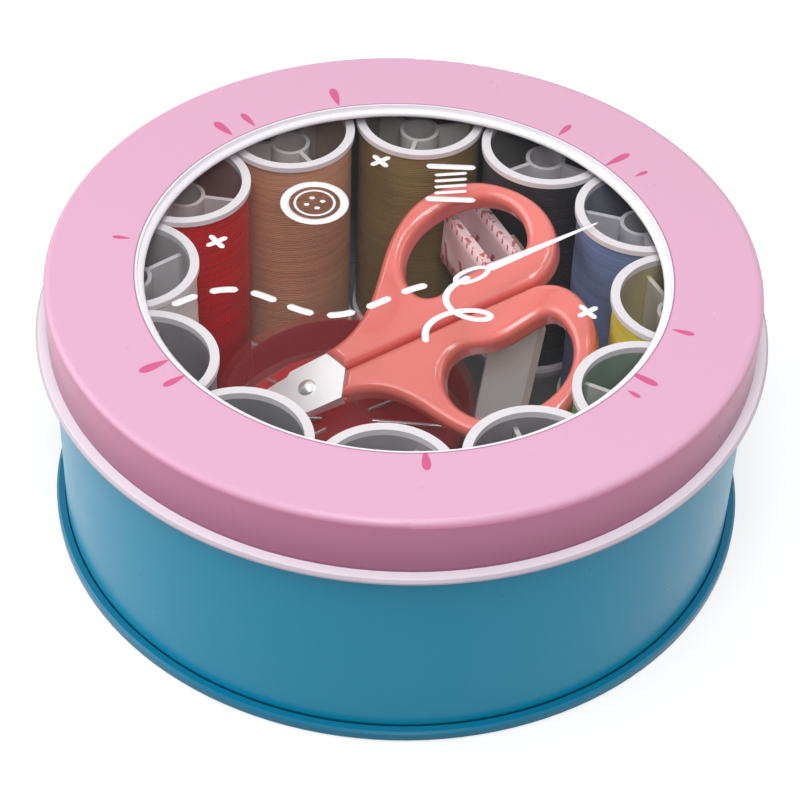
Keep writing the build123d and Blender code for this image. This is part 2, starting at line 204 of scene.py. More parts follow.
class Value:
    """One output of a node, which can be written in sums."""

    def __init__(self, finish, socket):
        self.finish = finish
        self.socket = socket

    def math(self, operation, *others):
        """A Math node on this value and the others."""
        inputs = dict(enumerate((self, *others)))
        return self.finish.node("ShaderNodeMath", {"operation": operation}, inputs)

    def __add__(self, other):
        return self.math("ADD", other)

    __radd__ = __add__

    def __mul__(self, other):
        return self.math("MULTIPLY", other)

    __rmul__ = __mul__

    def __sub__(self, other):
        return self.math("SUBTRACT", other)

    def __rsub__(self, other):
        return self.finish.node("ShaderNodeMath", {"operation": "SUBTRACT"}, {0: other, 1: self})

    def __truediv__(self, other):
        return self.math("DIVIDE", other)

    def __rtruediv__(self, other):
        return self.finish.node("ShaderNodeMath", {"operation": "DIVIDE"}, {0: other, 1: self})

    def __pow__(self, other):
        return self.math("POWER", other)

    def __gt__(self, other):
        return self.math("GREATER_THAN", other)

    def __lt__(self, other):
        return self.math("LESS_THAN", other)

    def other(self, output):
        """Another output of the same node."""
        return Value(self.finish, self.socket.node.outputs[output])

    def sine(self):
        """Sine of this value."""
        return self.math("SINE")

    def part(self):
        """What is left of this value after its whole number."""
        return self.math("FRACT")

    def size(self):
        """This value without its sign."""
        return self.math("ABSOLUTE")

    def most(self, other):
        """The larger of two values."""
        return self.math("MAXIMUM", other)

    def ramp(self, start, end):
        """0 before start and 1 after end, smooth between."""
        return self.finish.node(
            "ShaderNodeMapRange",
            {"interpolation_type": "SMOOTHSTEP"},
            {"Value": self, "From Min": start, "From Max": end},
        )


class Finish:
    """One material, or the world, while its nodes are being made."""

    def __init__(self, name, world=None):
        self.material = world or bpy.data.materials.new(name)
        self.material.use_nodes = True
        self.tree = self.material.node_tree
        self.tree.nodes.clear()

    def node(self, kind, settings=None, inputs=None, output=0):
        """A node of that kind: its settings first, then values or links for its inputs."""
        node = self.tree.nodes.new(kind)
        for key, value in (settings or {}).items():
            setattr(node, key, value)
        for key, value in (inputs or {}).items():
            socket = node.inputs[key]
            if isinstance(value, Value):
                self.tree.links.new(value.socket, socket)
            elif hasattr(value, "__len__") and socket.type == "RGBA":
                socket.default_value = (*tuple(value)[:3], 1)
            else:
                socket.default_value = value
        return Value(self, node.outputs[output]) if len(node.outputs) else None

    def mix(self, start, end, share):
        """A colour between start and end."""
        return self.node(
            "ShaderNodeMix",
            {"data_type": "RGBA"},
            {0: share, 6: start, 7: end},
            output=2,
        )

    def place(self, centre=(0, 0, 0)):
        """x, y and z of the surface in metres, from the given centre."""
        spot = self.node("ShaderNodeTexCoord", output="Object")
        if any(centre):
            shift = [-c for c in centre]
            spot = self.node("ShaderNodeMapping", None, {"Vector": spot, "Location": shift})
        x = self.node("ShaderNodeSeparateXYZ", None, {0: spot})
        return spot, x, x.other(1), x.other(2)

    def sheet_place(self):
        """u and v of the piece's own map."""
        spot = self.node("ShaderNodeTexCoord", output="UV")
        u = self.node("ShaderNodeSeparateXYZ", None, {0: spot})
        return u, u.other(1)

    def noise(self, spot, scale, detail=2.0, roughness=0.5):
        """Soft noise between 0 and 1."""
        inputs = {"Vector": spot, "Scale": scale, "Detail": detail, "Roughness": roughness}
        return self.node("ShaderNodeTexNoise", None, inputs)

    def white_rays(self):
        """1 for rays from the camera, a gloss or a clear film, which see the backdrop as white."""
        seen = self.node("ShaderNodeLightPath", output="Is Camera Ray")
        return seen.most(seen.other("Is Glossy Ray")).most(seen.other("Is Transmission Ray"))

    def bump(self, height, distance, strength):
        """A normal from a height in metres when distance is 1."""
        inputs = {"Height": height, "Distance": distance, "Strength": strength}
        return self.node("ShaderNodeBump", None, inputs)

    def surface(self, **inputs):
        """The shader that the surface has, from its sockets' names with _ for spaces."""
        named = {key.replace("_", " "): value for key, value in inputs.items()}
        shader = self.node("ShaderNodeBsdfPrincipled", None, named)
        self.close(shader)
        return self.material

    def close(self, shader):
        """Ends the material with this shader."""
        self.node("ShaderNodeOutputMaterial", None, {"Surface": shader})


def dress(material, *names):
    """Gives CAD nodes or pieces this one material."""
    for name in names:
        mesh = (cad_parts.get(name) or bpy.data.objects[name]).data
        mesh.materials.clear()
        mesh.materials.append(material)


# --- making surfaces -----------------------------------------------------------------------


def surface(name, points, uv=None, around=True, ends="poles"):
    """A mesh object from a grid of points.

    points is (rows, columns, 3) in metres. Neighbouring grid points make one four-sided face.
    around joins the last column to the first. ends is "poles", where one middle point closes the
    first and the last row, "ring", where the last row joins the first, or "open". uv is (rows,
    columns, 2).
    """
    rows, columns = points.shape[:2]
    row_steps = rows if ends == "ring" else rows - 1
    column_steps = columns if around else columns - 1
    i, j = np.meshgrid(np.arange(row_steps), np.arange(column_steps), indexing="ij")
    below, beside = (i + 1) % rows, (j + 1) % columns
    quads = np.stack(
        [i * columns + j, i * columns + beside, below * columns + beside, below * columns + j], -1
    )
    quads = quads.reshape(-1, 4)
    vertices = points.reshape(-1, 3)
    maps = None
    if uv is not None:
        maps = np.stack([uv[i, j], uv[i, beside], uv[below, beside], uv[below, j]], 2)
        maps = maps.reshape(-1, 4, 2)
    faces = [quads]
    if ends == "poles":
        middles = np.stack([points[0].mean(0), points[-1].mean(0)])
        vertices = np.vstack([vertices, middles])
        ring = np.arange(columns)
        after = (ring + 1) % columns
        first = np.stack([after, ring, np.full(columns, rows * columns)], -1)
        last = (rows - 1) * columns
        second = np.stack([last + ring, last + after, np.full(columns, rows * columns + 1)], -1)
        faces += [first, second]
    mesh = bpy.data.meshes.new(name)
    corners = np.concatenate([f.ravel() for f in faces])
    counts = np.concatenate([np.full(len(f), f.shape[1]) for f in faces])
    starts = np.concatenate([[0], np.cumsum(counts)[:-1]])
    mesh.vertices.add(len(vertices))
    mesh.vertices.foreach_set("co", vertices.astype(np.float32).ravel())
    mesh.loops.add(len(corners))
    mesh.loops.foreach_set("vertex_index", corners.astype(np.int32))
    mesh.polygons.add(len(counts))
    mesh.polygons.foreach_set("loop_start", starts.astype(np.int32))
    mesh.polygons.foreach_set("loop_total", counts.astype(np.int32))
    mesh.polygons.foreach_set("use_smooth", np.ones(len(counts), bool))
    if maps is not None:
        layer = mesh.uv_layers.new(name="map")
        flat = np.zeros((len(corners), 2), np.float32)
        flat[: maps.size // 2] = maps.reshape(-1, 2)
        layer.data.foreach_set("uv", flat.ravel())
    mesh.update()
    mesh.validate()
    piece = bpy.data.objects.new(name, mesh)
    bpy.context.scene.collection.objects.link(piece)
    return piece


def sweep(path, side, upward, section):
    """Points of a section carried along a path: at every step, the path's point plus section_x
    times side plus section_y times upward."""
    return (
        path[:, None, :]
        + section[..., 0:1] * side[:, None, :]
        + section[..., 1:2] * upward[:, None, :]
    )


def join(name, pieces):
    """One object from several."""
    with bpy.context.temp_override(
        active_object=pieces[0], selected_editable_objects=pieces, selected_objects=pieces
    ):
        bpy.ops.object.join()
    pieces[0].name = name
    pieces[0].data.name = name
    return pieces[0]


def printed_stroke(name, path, half_width, base, loop=False, rise=0.0):
    """A flat line of ink: an oval section, as wide as half_width says and rounded off at both ends,
    carried along a level path at height base. A loop's path doesn't repeat its first point, and
    keeps its width all round; a line that crosses itself climbs evenly by rise."""
    run = (np.roll(path, -1, 0) - np.roll(path, 1, 0)) if loop else np.gradient(path, axis=0)
    run /= np.linalg.norm(run, axis=1)[:, None]
    side = np.stack([-run[:, 1], run[:, 0], np.zeros(len(path))], 1)
    travelled = np.concatenate([[0], np.cumsum(np.linalg.norm(np.diff(path, axis=0), axis=1))])
    width = np.broadcast_to(np.asarray(half_width, float), (len(path),))
    from_end = np.minimum(travelled, travelled[-1] - travelled) + 0.02 * width
    rounding = 1.0 if loop else np.sqrt(1 - np.clip(1 - from_end / width, 0, 1) ** 2)
    turn = np.linspace(0, 2 * np.pi, 9)[:-1] + np.pi / 8
    level = np.column_stack([path, np.linspace(base, base + rise, len(path))])
    upward = np.tile([0.0, 0.0, 1.0], (len(path), 1))
    section = np.stack(
        [
            (width * rounding)[:, None] * np.cos(turn)[None],
            np.tile(INK_HEIGHT * np.sin(turn), (len(path), 1)),
        ],
        -1,
    )
    return surface(name, sweep(level, side, upward, section), ends="ring" if loop else "poles")


# --- tin -----------------------------------------------------------------------------------


def tin_lacquer(name, finish_colour, masks):
    """Lacquer on tinplate. masks(finish, x, y, z, radius) gives (colour, bare), the colour after
    its print and where the plate is bare metal."""
    finish = Finish(name)
    spot, x, y, z = finish.place()
    radius = (x * x + y * y) ** 0.5
    shade, bare = masks(finish, x, y, z, radius)
    wear = finish.noise(spot, 220.0, 3.0)
    grain = finish.noise(spot, 2600.0, 1.0)
    drawn = finish.noise(spot, 38.0, 2.0)
    shade = finish.mix(shade, finish_colour, (drawn - 0.5) * 0.06)
    roughness = 0.25 + wear * 0.08 + bare * 0.10
    height = drawn * 0.00005 + grain * 0.0000012
    return finish.surface(
        Base_Color=shade,
        Metallic=bare * 0.9,
        Roughness=roughness,
        Specular_IOR_Level=0.30,
        Normal=finish.bump(height, 1.0, 0.35),
    )


# the strokes round the window: azimuth in degrees, outward shift in mm, share of a long mark, and
# half width in mm
MARKS = (
    (133.0, 0.8, 1.00, 1.15),
    (127.0, 0.3, 0.90, 0.90),
    (106.5, 0.5, 1.06, 1.10),
    (54.6, -0.1, 0.80, 0.80),
    (40.0, 0.1, 1.20, 0.95),
    (33.5, 1.1, 0.56, 0.60),
    (-17.6, 0.1, 0.76, 0.75),
    (-34.0, -1.4, 1.15, 0.95),
    (-38.8, -0.4, 0.50, 0.60),
    (-84.6, -1.2, 0.88, 1.00),
    (-139.3, -0.8, 0.86, 0.90),
    (-145.0, 0.0, 1.08, 1.15),
    (175.0, 0.2, 0.62, 0.60),
)


def lid_masks(tin):
    """The lid: pink outside, a white rolled edge, bare inside, and strokes in a ring round the
    window. A stroke is an oval along its azimuth that narrows towards the middle of the lid. The
    side is painted darker than the top, and darker again towards its hem, as painted shade, and the
    crease round the window and the hem get a painted shadow."""

    def masks(finish, x, y, z, radius):
        ink = None
        for azimuth, out, long, wide in MARKS:
            east, north = math.cos(math.radians(azimuth)), math.sin(math.radians(azimuth))
            along = x * east + y * north - (tin.mark_ring + out * MM)
            along = along / (tin.mark_length * long / 2)
            across = (y * east - x * north) / (wide * MM) / (0.66 + along * 0.34).most(0.1)
            blot = 1.0 - (along * along + across * across).ramp(0.85, 1.12)
            ink = blot if ink is None else ink.most(blot)
        on_top = z > LID_FLAT
        # painted shade: the skirt is painted darker towards its hem
        skirt_in_shade = tuple(0.66 * c for c in tin.skirt)
        side = finish.mix(skirt_in_shade, tuple(tin.skirt), z.ramp(*SKIRT_SHADE))
        # painted shade: the side takes the darker copy of the top's lacquer, changing at the
        # shoulder
        paint = finish.mix(side, tuple(tin.lid), z.ramp(*SHOULDER))
        top_shade = finish.mix(paint, tuple(tin.mark), ink * on_top)
        rolled = radius < ROLL_RADIUS
        # painted shadow: a dark raspberry in the crease round the window and along the hem
        crease = 1.0 - (radius - CREASE_RADIUS).size().ramp(*CREASE_SHADOW_REACH)
        hem = 1.0 - z.ramp(*HEM_SHADE)
        shaded = finish.mix(top_shade, (0.30, 0.10, 0.20), crease * on_top * 0.7 + hem * 0.9)
        shade = finish.mix(shaded, tuple(tin.trim), rolled)
        outwards = (radius - CORNER_RADIUS).most(0.0)
        upwards = (z - CORNER_HEIGHT).most(0.0)
        reach = (outwards * outwards + upwards * upwards) ** 0.5
        bare = (reach < CORNER_REACH) * (1.0 - rolled)
        return finish.mix(shade, tuple(tin.tinplate), bare), bare

    return masks


def wall_masks(tin):
    """The wall: lacquered outside, white from the bead upwards, bare inside. The lacquer is painted
    darker in the groove above the bottom seam, and the bead's white is a darker copy of the neck's
    white, both as painted shade.
    """

    def masks(finish, x, y, z, radius):
        # painted shade: the lacquer is painted darker in the groove just above the bottom seam
        groove = 1.0 - z.ramp(*GROOVE_SHADE)
        painted = finish.mix(tuple(tin.body), tuple(0.35 * c for c in tin.body), groove)
        # painted shade: the bead's white is a darker copy of the neck's white
        white = finish.mix(tuple(tin.bead), tuple(tin.trim), z.ramp(*NECK_FOOT))
        shade = finish.mix(painted, white, z > BEAD_FOOT)
        bare = radius < WALL_INSIDE
        return finish.mix(shade, tuple(tin.tinplate), bare), bare

    return masks


def base_masks(tin):
    """The bottom plate: lacquered on the seam and below in a darker copy of the wall's teal, as
    painted shade, bare inside.
    """

    def masks(finish, x, y, z, radius):
        bare = (z > PLATE_INSIDE) * (radius < PLATE_RADIUS)
        return finish.mix(tuple(tin.seam), tuple(tin.tinplate), bare), bare

    return masks


class SEWING_OT_tin(bpy.types.Operator):
    """Lacquers the wall, the bottom and the lid"""

    bl_idname = "sewing.tin"
    bl_label = "Tin"

    def execute(self, context):
        tin = context.scene.sewing_tin
        dress(tin_lacquer("lid_lacquer", tuple(tin.lid), lid_masks(tin)), "lid_shell")
        dress(tin_lacquer("wall_lacquer", tuple(tin.body), wall_masks(tin)), "body_wall")
        dress(tin_lacquer("base_lacquer", tuple(tin.body), base_masks(tin)), "bottom_plate")
        return {"FINISHED"}


# --- window --------------------------------------------------------------------------------


def clear_film(name, tint, alpha, roughness):
    """Thin clear plastic with faint handling marks."""
    finish = Finish(name)
    spot, *_ = finish.place()
    smear = finish.noise(spot, 55.0, 4.0)
    return finish.surface(
        Base_Color=tuple(tint),
        Roughness=roughness + smear * 0.06,
        Alpha=alpha + (smear - 0.5) * (alpha * 0.4),
        IOR=1.5,
    )


def running_stitch(window, base):
    """Dashes one stitch long, a half stitch apart, along a wave whose height follows a sine."""
    x = np.linspace(-38.0, 6.0, 400)
    wave = np.column_stack([x, -6.5 + 3.6 * np.sin((x + 38.0) / 5.6) + 0.10 * x]) * MM
    travelled = np.concatenate([[0], np.cumsum(np.linalg.norm(np.diff(wave, axis=0), axis=1))])
    step = window.stitch * 1.45
    pieces = []
    for number in range(int((travelled[-1] + window.stitch * 0.45) / step)):
        reach = number * step + np.linspace(0, window.stitch, 14)
        dash = np.column_stack([np.interp(reach, travelled, wave[:, k]) for k in (0, 1)])
        pieces.append(printed_stroke("dash", dash, window.stroke / 2, base))
    return pieces


def printed_needle(window, base):
    """A long needle whose outline narrows evenly from the eye to the point, an oval eye, and a
    thread that leaves the eye in one loop: a straight run plus a circle whose radius swells and
    shrinks with a sine."""
    point, eye = np.array(NEEDLE_POINT) * MM, np.array(NEEDLE_EYE) * MM
    along = (point - eye) / np.linalg.norm(point - eye)
    across = np.array([-along[1], along[0]])
    share = np.linspace(0, 1, 40)
    shaft = eye + along * 0.0052 + (point - eye - along * 0.0052) * share[:, None]
    swell = window.stroke * (0.66 - 0.52 * share)
    turn = np.linspace(0, 2 * np.pi, 49)[:-1]
    lengthwise = along * MM * (2.2 + 3.2 * np.cos(turn)[:, None])
    slot = eye + lengthwise + across * MM * 1.35 * np.sin(turn)[:, None]
    swing = np.linspace(0, 1, 120)
    swollen = np.sin(np.pi * swing) ** 1.6
    thread = eye / MM + along * 1.6 + np.column_stack(
        [
            -7.0 * swing + 7.5 * swollen * np.cos(2.1 * np.pi * swing + 2.6),
            -17.0 * swing + 5.0 * swollen * np.sin(2.1 * np.pi * swing + 2.6),
        ]
    )
    return [
        printed_stroke("shaft", shaft, swell, base),
        printed_stroke("eye", slot, window.stroke * 0.30, base + 6 * MICRON, loop=True),
        printed_stroke(
            "tail", thread * MM, window.stroke * 0.40, base + 12 * MICRON, rise=14 * MICRON
        ),
    ]


def printed_button(window, base, middle, size):
    """A button: an outer ring, a thin inner ring and four short dashes for its holes."""
    turn = np.linspace(0, 2 * np.pi, 65)[:-1]
    ring = np.column_stack([np.cos(turn), np.sin(turn)])
    middle = np.array(middle) * MM
    well = middle + ring * size * 0.66
    pieces = [
        printed_stroke("rim", middle + ring * size, window.stroke * 0.5, base, loop=True),
        printed_stroke("well", well, window.stroke * 0.15, base, loop=True),
    ]
    for quarter in np.radians([20, 110, 200, 290]):
        spot = middle + size * 0.28 * np.array([np.cos(quarter), np.sin(quarter)])
        dot = spot + np.column_stack([np.linspace(-1, 1, 9), np.zeros(9)]) * window.stroke * 0.30
        pieces.append(printed_stroke("hole", dot, window.stroke * 0.27, base))
    return pieces


def printed_spool(window, base, middle, size):
    """A spool seen from the side: two level bars and slanting turns of thread between them."""
    middle = np.array(middle) * MM
    share = np.linspace(-1, 1, 24)[:, None]
    pieces = []
    for level in (-1.0, 1.0):
        bar = middle + size * (share * np.array([0.95, 0.0]) + np.array([0.0, level]))
        pieces.append(printed_stroke("bar", bar, window.stroke * 0.48, base))
    for level in (-0.56, -0.19, 0.18, 0.55):
        turn = middle + size * (share * np.array([0.62, 0.10]) + np.array([0.0, level]))
        pieces.append(printed_stroke("turn", turn, window.stroke * 0.28, base))
    return pieces


def printed_cross(window, base, middle, size):
    """A cross stitch: two short strokes at right angles."""
    pieces = []
    for order, slant in enumerate(np.radians([38, 128])):
        way = np.array([np.cos(slant), np.sin(slant)]) * size
        line = np.array(middle) * MM + np.linspace(-1, 1, 12)[:, None] * way
        lift = base + order * 8 * MICRON
        pieces.append(printed_stroke("cross", line, window.stroke * 0.36, lift))
    return pieces


class SEWING_OT_window(bpy.types.Operator):
    """Clears the window film and prints a stitch, a needle, a button, a spool and crosses on it"""

    bl_idname = "sewing.window"
    bl_label = "Window"

    def execute(self, context):
        window = context.scene.sewing_window
        dress(clear_film("window_film", window.film, 0.014, 0.05), "window_pane")
        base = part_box("window_pane")[1].z + INK_CLEARANCE
        strokes = running_stitch(window, base) + printed_needle(window, base)
        strokes += printed_button(window, base, BUTTON_PLACE, 0.0052)
        strokes += printed_spool(window, base, SPOOL_PLACE, 0.0046)
        for middle in CROSS_PLACES:
            strokes += printed_cross(window, base, middle, 0.0021)
        ink = join("window_print", strokes)
        finish = Finish("screen_ink")
        spot, *_ = finish.place()
        speck = finish.noise(spot, 1800.0, 2.0)
        finish.surface(
            Base_Color=finish.mix(tuple(window.ink), (0.80, 0.79, 0.82), speck * 0.25),
            Roughness=0.45 + speck * 0.15,
        )
        dress(finish.material, "window_print")
        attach(ink, "lid")
        return {"FINISHED"}


# --- reels ---------------------------------------------------------------------------------


def spool_plastic(name, plastic, thread, centre):
    """Milky moulded plastic. Its barrel and the hole in its hub take a dim copy of the thread's
    colour as painted shade, which in the hole grows darker towards the bottom.
    """
    finish = Finish(name)
    spot, x, y, z = finish.place((centre.x, centre.y, 0))
    radius = (x * x + y * y) ** 0.5
    flow = finish.noise(spot, 160.0, 3.0)
    low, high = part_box("spool_yellow")
    within = (z > low.z + 0.001) * (z < high.z - 0.0012)
    # painted shade: a dim copy of the thread's colour on the barrel, and in the hub's hole darker
    # towards the bottom
    barrel = radius.ramp(*BARREL_START) * (radius < BARREL_RADIUS) * within
    depth = 1.0 - z.ramp(low.z, high.z)
    core = (radius < CORE_RADIUS) * (z < high.z - 0.0025) * (0.35 + depth * 0.45)
    shaded_thread_share = (barrel * 0.88).most(core)
    shaded_thread = tuple(0.42 * c + 0.035 for c in thread)
    shade = finish.mix(tuple(plastic), shaded_thread, shaded_thread_share)
    shade = finish.mix(shade, tuple(0.93 * c for c in plastic), flow * 0.35)
    return finish.surface(
        Base_Color=shade,
        Roughness=0.36 + flow * 0.12,
        Normal=finish.bump(flow, 0.00004, 0.4),
    )


def wound_thread(name, thread, pitch):
    """Cotton-bound polyester thread: fine turns that climb round the spool, crossing bands, darker
    turns here and there and a soft fuzz. Each turn's crest is painted paler and the groove between
    turns darker, as painted highlight and shade."""
    finish = Finish(name)
    u, v = finish.sheet_place()
    spot, *_ = finish.place()
    turns = WINDING_HEIGHT / pitch
    climb = v * turns + u
    ridge = (climb * (2 * math.pi)).sine() * 0.5 + 0.5
    band = finish.noise(spot, 95.0, 2.0)
    lay = ((v * 38.0 - u * 3.0) * (2 * math.pi)).sine() * 0.5 + 0.5
    fibre = finish.noise(spot, 4200.0, 2.0)
    flat = {"Vector": spot, "Scale": (30.0, 30.0, 1500.0)}
    level = finish.node("ShaderNodeMapping", None, flat)
    streak = finish.noise(level, 1.0, 3.0).ramp(0.42, 0.68)
    # painted highlight and shade: each turn's crest takes the paler colour and the groove between
    # turns the darker one, mixed with random fibre tone; the darker colour also marks the random
    # darker turns
    dark = tuple(0.58 * c for c in thread)
    pale_tone_and_highlight = tuple(min(1.0, 1.24 * c + 0.012) for c in thread)
    shade = finish.mix(dark, pale_tone_and_highlight, ridge * 0.62 + fibre * 0.38)
    shade = finish.mix(shade, tuple(thread), band * 0.4 + lay * 0.12)
    shade = finish.mix(shade, dark, streak * 0.45)
    height = ridge * (0.16 * pitch) + lay * (0.05 * pitch) + fibre * (0.05 * pitch)
    return finish.surface(
        Base_Color=shade,
        Roughness=0.56 - ridge * 0.10,
        Specular_IOR_Level=0.30,
        Sheen_Weight=0.08,
        Sheen_Roughness=0.4,
        Normal=finish.bump(height, 1.0, 0.8),
    )


def winding(name, low, high, seed):
    """The thread on one spool: a sleeve whose radius swells slowly with height and turn by sums of
    sines, turned in at both ends to the barrel."""
    centre = (low + high) / 2
    outer = (high.x - low.x) / 2 - 0.00005
    inner = outer - 0.00045
    draw = np.random.default_rng(seed)
    phases = draw.uniform(0, 2 * np.pi, 6)
    v = np.linspace(0, 1, 64)
    u = np.arange(72) / 72
    height = low.z + 0.0001 + (high.z - low.z - 0.0002) * v
    swell = (
        np.sin(9 * np.pi * v[:, None] + phases[0])
        + np.sin(23 * np.pi * v[:, None] + 2 * np.pi * u[None] + phases[1])
        + 0.6 * np.sin(41 * np.pi * v[:, None] - 4 * np.pi * u[None] + phases[2])
    )
    end = np.clip(np.minimum(v, 1 - v) / 0.02, 0, 1) ** 0.5
    radius = inner + (outer - inner) * (0.83 + 0.055 * swell) * (0.55 + 0.45 * end)[:, None]
    turn = 2 * np.pi * u
    points = np.stack(
        [
            centre.x + radius * np.cos(turn)[None],
            centre.y + radius * np.sin(turn)[None],
            np.broadcast_to(height[:, None], radius.shape),
        ],
        -1,
    )
    back = np.stack(
        [
            centre.x + inner * np.cos(turn)[None].repeat(2, 0),
            centre.y + inner * np.sin(turn)[None].repeat(2, 0),
            np.array([high.z - 0.0001, low.z + 0.0001])[:, None].repeat(72, 1),
        ],
        -1,
    )
    around, upwards = np.broadcast_arrays(u[None], v[:, None])
    uv = np.stack([around, upwards], -1)
    uv = np.concatenate([uv, np.stack([uv[-1], uv[0]])])
    return surface(name, np.concatenate([points, back]), uv, ends="ring")


class SEWING_OT_reels(bpy.types.Operator):
    """Winds thread on the spools and tints their plastic"""

    bl_idname = "sewing.reels"
    bl_label = "Reels"

    def execute(self, context):
        reels = context.scene.sewing_reels
        for number, reel in enumerate(REELS):
            thread = tuple(getattr(reels, reel))
            low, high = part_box(f"spool_{reel}")
            plastic = spool_plastic(f"plastic_{reel}", reels.plastic, thread, (low + high) / 2)
            dress(plastic, f"spool_{reel}")
            piece = winding(f"winding_{reel}", *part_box(f"thread_{reel}"), seed=40 + number)
            dress(wound_thread(f"cotton_{reel}", thread, reels.pitch), piece.name)
            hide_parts(f"thread_{reel}")
            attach(piece, f"reel_{reel}")
        return {"FINISHED"}


# --- scissors ------------------------------------------------------------------------------


class SEWING_OT_scissors(bpy.types.Operator):
    """Finishes the handles, the blades and the pivot of the scissors"""

    bl_idname = "sewing.scissors"
    bl_label = "Scissors"

    def execute(self, context):
        tools = context.scene.sewing_tools
        finish = Finish("handle_plastic")
        spot, *_ = finish.place()
        flow = finish.noise(spot, 45.0, 3.0)
        pores = finish.noise(spot, 1500.0, 2.0)
        pale = tuple(min(1.0, 1.12 * c + 0.015) for c in tools.handle)
        finish.surface(
            Base_Color=finish.mix(tuple(tools.handle), pale, flow),
            Roughness=0.20 + pores * 0.05,
            Specular_IOR_Level=0.60,
            Coat_Weight=0.6,
            Coat_Roughness=0.10,
            Subsurface_Weight=0.10,
            Subsurface_Radius=(0.004, 0.0012, 0.0008),
            Subsurface_Scale=1.0,
            Normal=finish.bump(flow, 0.00003, 0.3),
        )
        dress(finish.material, "handle_left", "handle_right")
        dress(ground_steel("blade_steel", tools.steel, 0.26), "blade_left", "blade_right")
        dress(ground_steel("rivet_steel", tools.steel, 0.12), "pivot_rivet")
        return {"FINISHED"}


def ground_steel(name, steel, roughness):
    """Steel with fine grinding lines along its length."""
    finish = Finish(name)
    spot, *_ = finish.place()
    stretched = finish.node(
        "ShaderNodeMapping", None, {"Vector": spot, "Scale": (300.0, 4200.0, 2600.0)}
    )
    lines = finish.noise(stretched, 1.0, 3.0, 0.6)
    cloud = finish.noise(spot, 120.0, 2.0)
    dark = tuple(0.82 * c for c in steel)
    return finish.surface(
        Base_Color=finish.mix(tuple(steel), dark, lines * 0.5),
        Metallic=0.65,
        Roughness=roughness + lines * 0.12 + cloud * 0.05,
        Normal=finish.bump(lines, 0.000004, 0.6),
    )


# --- pin box -------------------------------------------------------------------------------


def cushion_surface(low, high):
    """A crowned round pad: radius and height follow a flattened oval profile, and eight shallow
    valleys run from a gathered middle to the rim."""
    centre = (low + high) / 2
    reach = (high.x - low.x) / 2
    tall = high.z - low.z
    s = np.linspace(0, 1, 60)[:, None]
    turn = np.linspace(0, 2 * np.pi, 129)[None, :-1]
    sweep_angle = np.pi * (0.02 + 0.96 * s) - np.pi / 2
    profile_r = np.abs(np.cos(sweep_angle)) ** 0.35
    profile_z = 0.5 + 0.5 * np.sign(np.sin(sweep_angle)) * np.abs(np.sin(sweep_angle)) ** 0.55
    upper = np.clip((profile_z - 0.5) * 2, 0, 1)
    valley = (0.5 + 0.5 * np.cos(8 * turn)) ** 3
    gather = 0.22 * np.exp(-((profile_r / 0.16) ** 2))
    dip = upper * (0.10 * valley * np.clip(profile_r * 1.6, 0, 1) + gather)
    crown = 0.86 + 0.14 * (1 - profile_r**2)
    radius = reach * profile_r * (1 - 0.010 * valley)
    height = low.z + tall * profile_z * crown * (1 - dip)
    x, y = centre.x + radius * np.cos(turn), centre.y + radius * np.sin(turn)
    return surface("cushion_pad", np.stack([x, y, height * np.ones_like(turn)], -1))


class SEWING_OT_pin_box(bpy.types.Operator):
    """Fills the clear pin box with a cloth cushion and its needles"""

    bl_idname = "sewing.pin_box"
    bl_label = "Pin box"

    def execute(self, context):
        tools = context.scene.sewing_tools
        dress(clear_film("box_plastic", tools.clear, 0.14, 0.06), "pin_box_dish", "pin_box_cap")
        dress(ground_steel("needle_steel", tools.steel, 0.15), "needles")
        pad = cushion_surface(*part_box("pin_cushion"))
        finish = Finish("cushion_cloth")
        spot, x, y, z = finish.place()
        weave = (x * 7800.0).sine() * (y * 7800.0).sine()
        fade = finish.noise(spot, 90.0, 3.0)
        dark = tuple(0.55 * c for c in tools.cushion)
        finish.surface(
            Base_Color=finish.mix(tuple(tools.cushion), dark, fade * 0.5 + weave * 0.2),
            Roughness=0.75 + fade * 0.1,
            Sheen_Weight=0.35,
            Normal=finish.bump(weave * 0.00004 + fade * 0.0002, 1.0, 0.6),
        )
        dress(finish.material, pad.name)
        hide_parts("pin_cushion")
        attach(pad, "tin")
        return {"FINISHED"}


# --- tape measure and needle sleeve --------------------------------------------------------


